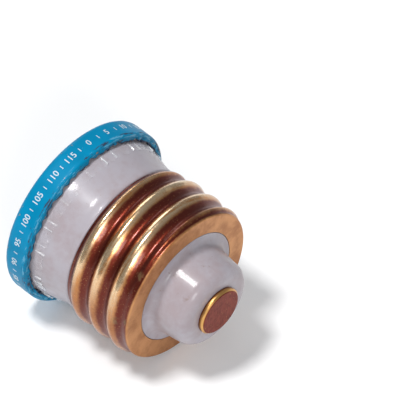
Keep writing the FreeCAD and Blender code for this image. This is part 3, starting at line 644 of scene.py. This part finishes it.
def applied(data):
    """The mesh that a text or a curve makes."""
    holder = bpy.data.objects.new("unapplied", data)
    bpy.context.scene.collection.objects.link(holder)
    bpy.context.view_layer.update()
    mesh = bpy.data.meshes.new_from_object(holder.evaluated_get(
        bpy.context.evaluated_depsgraph_get()))
    bpy.data.objects.remove(holder)
    form = bmesh.new()
    form.from_mesh(mesh)
    bpy.data.meshes.remove(mesh)
    return form


# ---------------------------------------------------------------- cap

def cap_form(looks):
    """Spun cap: six-sided opening, rounded edge, side, and the dented edge turned in behind."""
    under = CAP_FACE - looks.sheet
    turned_in = CAP_RADIUS - looks.crimp
    hole = looks.opening
    trim = 0.07 * MM
    lip = 0.13 * MM
    corners = [
        (hole, CAP_FACE, trim),
        (CAP_RADIUS, CAP_FACE, looks.edge),
        (CAP_RADIUS, CAP_REAR, looks.crimp_round),
        (turned_in, CAP_REAR, lip),
        (turned_in, CAP_REAR + looks.sheet, lip),
        (CAP_RADIUS - looks.sheet, CAP_REAR + looks.sheet, looks.crimp_round - looks.sheet),
        (CAP_RADIUS - looks.sheet, under, looks.edge - looks.sheet),
        (hole, under, trim),
    ]
    form = spun(divided(rounded(corners), 0.5 * MM), 384)
    six_sided(form, hole)
    dent(form, looks)
    shade(form)
    return form


def six_sided(form, hole):
    """Draw the round opening in to a hexagon with corners at 30, 90, 150 degrees and so on."""
    fringe = 1.6 * MM
    side = FULL_TURN / 6
    for vertex in form.verts:
        reach = reach_of(vertex)
        if reach > hole + fringe or vertex.co.z < CAP_FACE - 1 * MM:
            continue
        off_flat = (turn_of(vertex) + side / 2) % side - side / 2
        edge = hole * math.cos(side / 2) / math.cos(off_flat)
        push_out(vertex, (edge - hole) * (1 - (reach - hole) / fringe))


def dent(form, looks):
    """Press small uneven dents in the turned-in edge."""
    inward = waves(11, (19, 31, 47, 61))
    along = waves(12, (17, 29, 43, 59))
    untouched = CAP_RADIUS - 0.2 * MM
    for vertex in form.verts:
        if vertex.co.z > CAP_REAR + looks.crimp_round:
            continue
        share = 1 - ramp(reach_of(vertex), CAP_RADIUS - looks.crimp, untouched)
        angle = turn_of(vertex)
        push_out(vertex, looks.dent * share * inward(angle))
        vertex.co.z += looks.dent * share * along(angle)


class FUSE_OT_cap(Operator):
    """Make the blue sheet cap and the dark ring behind its face"""
    bl_idname = "fuse.cap"
    bl_label = "Cap"

    def execute(self, context):
        cap, window = context.scene.fuse_cap, context.scene.fuse_window
        make_piece(cap_form(cap), "cap", cap_lacquer(cap), ("cap_ring",))
        smooth_copy("face_gasket", "dark_ring", dark_ring(window))
        return {"FINISHED"}


# ---------------------------------------------------------------- printing

PRINT_LIFT = 0.012 * MM
DIVISIONS = 24
STEP = 5
SMALL_TEXT = (1.42 * MM, 0.012 * MM)
LARGE_TEXT = (4.3 * MM, 0.13 * MM)
LARGE_TEXT_UP = 10.95 * MM
TICK = (0.13 * MM, 0.70 * MM)
BAR_WIDTH = 0.38 * MM
BARS = ((9.95 * MM, 17.6 * MM), (12.55 * MM, 7.6 * MM))


def text_form(text, height, bold):
    """Plain numerals as a thin closed mesh, centred on their origin; bold widens the strokes."""
    curve = bpy.data.curves.new("numerals", "FONT")
    curve.body = text
    curve.size = height
    curve.align_x = "CENTER"
    curve.align_y = "CENTER"
    curve.extrude = PRINT_LIFT
    curve.offset = bold
    curve.resolution_u = 4
    return applied(curve)


def bar_form(width, height):
    """A thin printed bar."""
    form = bmesh.new()
    bmesh.ops.create_cube(form, size=1)
    bmesh.ops.transform(form, verts=form.verts,
                        matrix=Matrix.Diagonal((width, height, 2 * PRINT_LIFT, 1)))
    return form


def wrap(form, angle, height):
    """Bend a flat print round the cap's side, reading along the side, tops towards the face."""
    for vertex in form.verts:
        turn = angle + vertex.co.x / CAP_RADIUS
        reach = CAP_RADIUS + PRINT_LIFT / 2 + vertex.co.z
        vertex.co = Vector((reach * math.cos(turn), reach * math.sin(turn), height + vertex.co.y))


def on_face(form, up, left):
    """Lay a flat print on the cap's face, upright for someone who looks at the face."""
    for vertex in form.verts:
        vertex.co = Vector((up + vertex.co.y, left - vertex.co.x,
                            CAP_FACE + PRINT_LIFT / 2 + vertex.co.z))


def gathered(forms):
    """Join several small meshes into one."""
    whole = bmesh.new()
    for form in forms:
        mesh = bpy.data.meshes.new("part")
        form.to_mesh(mesh)
        form.free()
        whole.from_mesh(mesh)
        bpy.data.meshes.remove(mesh)
    shade(whole)
    return whole


def side_scale():
    """A plain counting scale round the cap's side: numerals with a tick between them."""
    forms = []
    level = (CAP_FACE + CAP_REAR) / 2 - 0.05 * MM
    for division in range(DIVISIONS):
        angle = FULL_TURN * division / DIVISIONS
        numeral = text_form(str(division * STEP), *SMALL_TEXT)
        wrap(numeral, angle, level)
        tick = bar_form(*TICK)
        wrap(tick, angle + FULL_TURN / 2 / DIVISIONS, level)
        forms += [numeral, tick]
    return gathered(forms)


def face_bars():
    """A long and a short bar on each side of the window."""
    forms = []
    for side in (1, -1):
        for left, height in BARS:
            bar = bar_form(BAR_WIDTH, height)
            on_face(bar, 0.0, side * left)
            forms.append(bar)
    return gathered(forms)


class FUSE_OT_printing(Operator):
    """Print plain numerals and bars on the cap"""
    bl_idname = "fuse.printing"
    bl_label = "Printing"

    def execute(self, context):
        looks = context.scene.fuse_cap
        white = ink("print_white", looks.print_white, toned(looks.print_white, 0.6))
        black = ink("print_black", looks.print_black, (0.03, 0.12, 0.20))
        make_piece(side_scale(), "side_scale", white)
        make_piece(face_bars(), "face_bars", white)
        numeral = text_form("2", *LARGE_TEXT)
        on_face(numeral, LARGE_TEXT_UP, 0.0)
        shade(numeral)
        make_piece(numeral, "face_numeral", black)
        return {"FINISHED"}


# ---------------------------------------------------------------- window

FILM_SHEET = 0.12 * MM
FILM_OFF_CAP = 0.17 * MM
FILM_OFF_LIP = 0.215 * MM
FILM_LEAN = 0.20
FILM_STRETCH = 0.32 * MM
FOLD_STEPS = 26
FOLD_KEENNESS = 30


def film_form(looks, cap):
    """Clear film: flat over the window, folded down the head, pleated where it shows behind."""
    sheet = FILM_SHEET
    fold = CAP_REAR + cap.sheet + FILM_OFF_CAP
    neck = CAP_RADIUS - cap.crimp - FILM_OFF_LIP
    below_lip = CAP_REAR - 0.15 * MM
    tail_in = neck - (CAP_REAR - FILM_TAIL) * FILM_LEAN
    inner = FILM_RADIUS - sheet
    corners = [
        (0, FILM_TOP - sheet),
        (inner, FILM_TOP - sheet, 0.05 * MM),
        (inner, fold),
        (neck, fold),
        (neck, below_lip),
        (tail_in, FILM_TAIL),
        (tail_in + sheet, FILM_TAIL),
        (neck + sheet, below_lip),
        (neck + sheet, fold - sheet),
        (FILM_RADIUS, fold - sheet),
        (FILM_RADIUS, FILM_TOP, 0.15 * MM),
        (0, FILM_TOP),
    ]
    outline = divided(rounded(corners, closed=False), 1.2 * MM, closed=False)
    tail = [point for point in outline if point.y <= CAP_REAR]
    first = outline.index(tail[0])
    outline[first:first + len(tail)] = divided(tail, 0.3 * MM, closed=False)
    form = spun(outline, looks.pleats * FOLD_STEPS, closed=False)
    glint_layer = form.verts.layers.float.new(FOLD_GLINT)
    uneven = waves(21, (9, 17, 26))
    along = waves(22, (13, 29, 44, 61))
    for vertex in form.verts:
        share = ramp(CAP_REAR - vertex.co.z, -0.1 * MM, CAP_REAR - FILM_TAIL)
        if not share:
            continue
        angle = turn_of(vertex)
        bend = math.sin(looks.pleats * angle + 3.0 * uneven(angle))
        ridge = (0.5 + 0.5 * bend) ** FOLD_KEENNESS * ramp(along(angle + 2), -0.45, 0.35)
        # Marks where the material paints a highlight on the fold's ridge.
        vertex[glint_layer] = ridge * ramp(share, 0.0, 0.25)
        push_out(vertex, looks.pleat_depth * share * ridge)
        vertex.co.z += FILM_STRETCH * share * along(angle)
    shade(form)
    return form


class FUSE_OT_window(Operator):
    """Make the clear film over the window and its pleated skirt"""
    bl_idname = "fuse.window"
    bl_label = "Window film"

    def execute(self, context):
        looks = context.scene.fuse_window
        make_piece(film_form(looks, context.scene.fuse_cap), "clear_film", clear_film(looks),
                   ("window_film",))
        return {"FINISHED"}


# ---------------------------------------------------------------- body, shell and contact

class FUSE_OT_body(Operator):
    """Make the porcelain body"""
    bl_idname = "fuse.body"
    bl_label = "Porcelain body"

    def execute(self, context):
        smooth_copy("insulator_body", "porcelain", porcelain(context.scene.fuse_body))
        return {"FINISHED"}


class FUSE_OT_shell(Operator):
    """Make the brass screw shell"""
    bl_idname = "fuse.shell"
    bl_label = "Screw shell"

    def execute(self, context):
        smooth_copy("screw_shell", "brass_shell", thread_brass(context.scene.fuse_metal))
        return {"FINISHED"}


def contact_form():
    """The contact rivet with a soft rim and a slightly hollow, worn face."""
    shank = 1.0 * MM
    head, point = 1.3 * shank, 0.8 * shank
    clinch = CLINCH_TOP - 0.6 * MM
    corners = [
        (0, 0.03 * MM),
        (2.4 * MM, 0.015 * MM, 3.0 * MM),
        (CONTACT_RADIUS - 0.32 * MM, 0, 0.10 * MM),
        (CONTACT_RADIUS, 0.34 * MM, 0.20 * MM),
        (CONTACT_RADIUS, NOSE_FACE, 0.06 * MM),
        (shank, NOSE_FACE),
        (shank, clinch),
        (head, clinch, 0.05 * MM),
        (point, CLINCH_TOP, 0.15 * MM),
        (0, CLINCH_TOP),
    ]
    form = spun(rounded(corners, closed=False), 192, closed=False)
    shade(form)
    return form


class FUSE_OT_contact(Operator):
    """Make the centre contact"""
    bl_idname = "fuse.contact"
    bl_label = "Centre contact"

    def execute(self, context):
        make_piece(contact_form(), "contact_rivet", contact_copper(context.scene.fuse_metal),
                   ("centre_contact",))
        return {"FINISHED"}


# ---------------------------------------------------------------- what is seen inside

SPRING_WIRE = 0.24 * MM
SPRING_TURNS = 10
POINTS_A_TURN = 20
LOOP_ROOM = 1.3 * MM
LOOP_ACROSS = 1.15 * MM
LOOP_UP = 0.75 * MM
LOOP_POINTS = 15


def spring_points():
    """The spring's wire: its coils, then a loop round the link."""
    centre = middle("pull_spring")
    reach, low, high = spans("pull_spring", (centre.x, centre.y))
    radius = reach - SPRING_WIRE
    link = middle("fuse_link")
    anchor, clip = middle("anchor_post"), middle("terminal_post")
    run = Vector((clip.x - anchor.x, clip.y - anchor.y, 0)).normalized()
    beside = Vector((-run.y, run.x, 0))
    gap = Vector((link.x - centre.x, link.y - centre.y, 0)).dot(beside)
    start = low + SPRING_WIRE
    stop = high - LOOP_ROOM
    bearing = math.atan2(-beside.y * gap, -beside.x * gap)
    count = SPRING_TURNS * POINTS_A_TURN
    points = []
    for step in range(count + 1):
        share = step / count
        angle = bearing + FULL_TURN * SPRING_TURNS * (share - 1)
        points.append(Vector((centre.x + radius * math.cos(angle),
                              centre.y + radius * math.sin(angle),
                              start + (stop - start) * share)))
    strip = Vector((centre.x, centre.y, 0)) + beside * gap
    strip.z = (link.z + high) / 2
    for step in range(LOOP_POINTS):
        angle = math.pi * (1.05 - 2.0 * step / LOOP_POINTS)
        points.append(strip + beside * gap / abs(gap) * LOOP_ACROSS * math.cos(angle)
                      + Vector((0, 0, 1)) * LOOP_UP * math.sin(angle))
    return points


def wire_form(points, radius):
    """A round wire along points, closed at its ends."""
    curve = bpy.data.curves.new("wire", "CURVE")
    curve.dimensions = "3D"
    spline = curve.splines.new("NURBS")
    spline.points.add(len(points) - 1)
    for item, point in zip(spline.points, points):
        item.co = (*point, 1)
    spline.order_u = 4
    spline.use_endpoint_u = True
    spline.resolution_u = 3
    curve.bevel_depth = radius
    curve.bevel_resolution = 3
    curve.use_fill_caps = True
    form = applied(curve)
    shade(form)
    return form


class FUSE_OT_element(Operator):
    """Make the spring, link, pin, pot and the other pieces inside the body"""
    bl_idname = "fuse.element"
    bl_label = "Slow element"

    def execute(self, context):
        looks = context.scene.fuse_metal
        spring_wire = plain_metal("spring_copper", looks.spring, toned(looks.spring, 0.5), 0.14)
        brass = plain_metal("inner_brass", (0.62, 0.42, 0.18), (0.34, 0.20, 0.08), 0.28)
        bright = plain_metal("link_zinc", looks.bright, toned(looks.bright, 0.7), 0.18)
        steel = plain_metal("pin_steel", (0.50, 0.50, 0.52), (0.32, 0.32, 0.33), 0.25)
        dull = plain_metal("solder", looks.dull, toned(looks.dull, 0.7), 0.40)
        dark = plain_metal("heater_wire", (0.22, 0.20, 0.19), (0.10, 0.09, 0.085), 0.38)
        points = spring_points()
        spring = make_piece(wire_form(points, SPRING_WIRE), "spring", spring_wire,
                            ("pull_spring",))
        loop_middle = -(LOOP_POINTS // 2 + 1)
        top = LAY @ points[loop_middle]
        bottom = LAY @ points[0]
        travel = RELEASE["range_m"][1]
        1 - travel / (top - bottom).dot(AXIS)
        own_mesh(spring)
        for node, metal, slot in (
                ("fuse_link", bright, "link_zinc"), ("anchor_post", brass, "inner_brass"),
                ("anchor_rivet", brass, "inner_brass"), ("terminal_post", brass, "inner_brass"),
                ("terminal_rivet", brass, "inner_brass"), ("contact_strap", brass, "inner_brass"),
                ("clinch_washer", brass, "inner_brass"), ("solder_cup", brass, "inner_brass"),
                ("solder_slug", dull, "solder"), ("shell_solder", dull, "solder"),
                ("shell_lead", spring_wire, "spring_copper"), ("heater_coil", dark, "heater_wire"),
                ("heater_sleeve", mica(), "mica")):
            smooth_copy(node, node + "_piece", metal)
        smooth_copy("trigger_pin", "trigger_pin_piece", steel, "trigger")
        return {"FINISHED"}


# ---------------------------------------------------------------- stage

def table_top(looks):
    """Pale and even, with a glow far off that keeps low views pale up to the horizon."""
    finish = Finish("table_top")
    start = finish.node("ShaderNodeTexCoord", {}, {}, "Object")
    mottle = finish.noise(start, 9.0, 3, 0.5)
    colour = finish.mix(finish.fade(mottle, 0.3, 0.7), looks.floor, toned(looks.floor, 0.985))
    reach, _, _ = finish.round_place(start)
    far = finish.fade(reach, 0.10, 0.80)
    glow = finish.mix(far, (0.08, 0.08, 0.08), (0.90, 0.90, 0.90))
    return finish.close(Base_Color=colour, Roughness=0.75, Specular_IOR_Level=0.2,
                        Emission_Color=glow, Emission_Strength=1.0)


TABLE_HALF = 15.0
AIR_COLOUR = (0.93, 0.96, 1.0, 1)
AIR_STRENGTH = 0.30
LAMPS = {
    "key": ((-0.07, -0.22, 0.66), 0.15, 3.4),
    "fill": ((0.48, -0.36, 0.36), 0.24, 1.8),
    "back": ((-0.52, 0.20, 0.30), 0.30, 0.6),
}


def lamp(name, place, size, power):
    """A round area lamp that faces the fuse: its place and size in metres, its power in watts."""
    light = bpy.data.lights.new(name, "AREA")
    light.shape = "DISK"
    light.size = size
    light.energy = power
    holder = bpy.data.objects.new(name, light)
    holder.location = place
    holder.rotation_mode = "QUATERNION"
    holder.rotation_quaternion = (-Vector(place)).to_track_quat("-Z", "Y")
    bpy.context.scene.collection.objects.link(holder)


def set_camera(looks):
    camera = bpy.data.objects.new("camera", bpy.data.cameras.new("camera"))
    bpy.context.scene.collection.objects.link(camera)
    back = Vector((math.sin(looks.azimuth) * math.cos(looks.elevation),
                   -math.cos(looks.azimuth) * math.cos(looks.elevation),
                   math.sin(looks.elevation)))
    camera.rotation_mode = "QUATERNION"
    upright = (-back).to_track_quat("-Z", "Y")
    camera.rotation_quaternion = upright @ Matrix.Rotation(looks.roll, 3, "Z").to_quaternion()
    camera.location = CONTACT + Vector(looks.aim) + back * looks.distance
    camera.data.sensor_width = 36
    camera.data.lens = looks.lens
    camera.data.clip_start = 0.01
    camera.data.clip_end = 100
    bpy.context.scene.camera = camera


class FUSE_OT_stage(Operator):
    """Make the table top, the lamps and the camera"""
    bl_idname = "fuse.stage"
    bl_label = "Stage"

    def execute(self, context):
        looks = context.scene.fuse_stage
        form = bmesh.new()
        bmesh.ops.create_grid(form, x_segments=1, y_segments=1, size=TABLE_HALF)
        mesh = bpy.data.meshes.new("table")
        form.to_mesh(mesh)
        form.free()
        table = bpy.data.objects.new("table", mesh)
        context.scene.collection.objects.link(table)
        mesh.materials.append(table_top(looks))
        for name, settings in LAMPS.items():
            lamp(name, *settings)
        world = bpy.data.worlds.new("studio")
        world.use_nodes = True
        backdrop = world.node_tree.nodes["Background"]
        backdrop.inputs["Color"].default_value = AIR_COLOUR
        backdrop.inputs["Strength"].default_value = AIR_STRENGTH
        context.scene.world = world
        context.scene.view_settings.view_transform = "Standard"
        set_camera(looks)
        return {"FINISHED"}


class FUSE_PT_panel(Panel):
    """Everything the fuse's looks are made of"""
    bl_label = "Plug fuse"
    bl_idname = "FUSE_PT_panel"
    bl_space_type = "VIEW_3D"
    bl_region_type = "UI"
    bl_category = "Plug fuse"

    def draw(self, context):
        for operator in MAKERS:
            self.layout.operator(operator.bl_idname)
        for group in LOOKS:
            box = self.layout.box()
            for name in LOOKS[group].__annotations__:
                box.prop(getattr(context.scene, group), name)


MAKERS = (FUSE_OT_body, FUSE_OT_shell, FUSE_OT_contact, FUSE_OT_cap, FUSE_OT_printing,
          FUSE_OT_window, FUSE_OT_element, FUSE_OT_stage)
LOOKS = {"fuse_cap": CapLooks, "fuse_window": WindowLooks, "fuse_body": BodyLooks,
         "fuse_metal": MetalLooks, "fuse_stage": StageLooks}


def register():
    for group in LOOKS.values():
        bpy.utils.register_class(group)
    for name, group in LOOKS.items():
        setattr(bpy.types.Scene, name, PointerProperty(type=group))
    for operator in (*MAKERS, FUSE_PT_panel):
        bpy.utils.register_class(operator)


def unregister():
    for operator in (FUSE_PT_panel, *reversed(MAKERS)):
        bpy.utils.unregister_class(operator)
    for name, group in LOOKS.items():
        delattr(bpy.types.Scene, name)
        bpy.utils.unregister_class(group)


def main():
    register()
    for operator in MAKERS:
        family, name = operator.bl_idname.split(".")
        getattr(getattr(bpy.ops, family), name)()


if __name__ == "__main__":
    main()
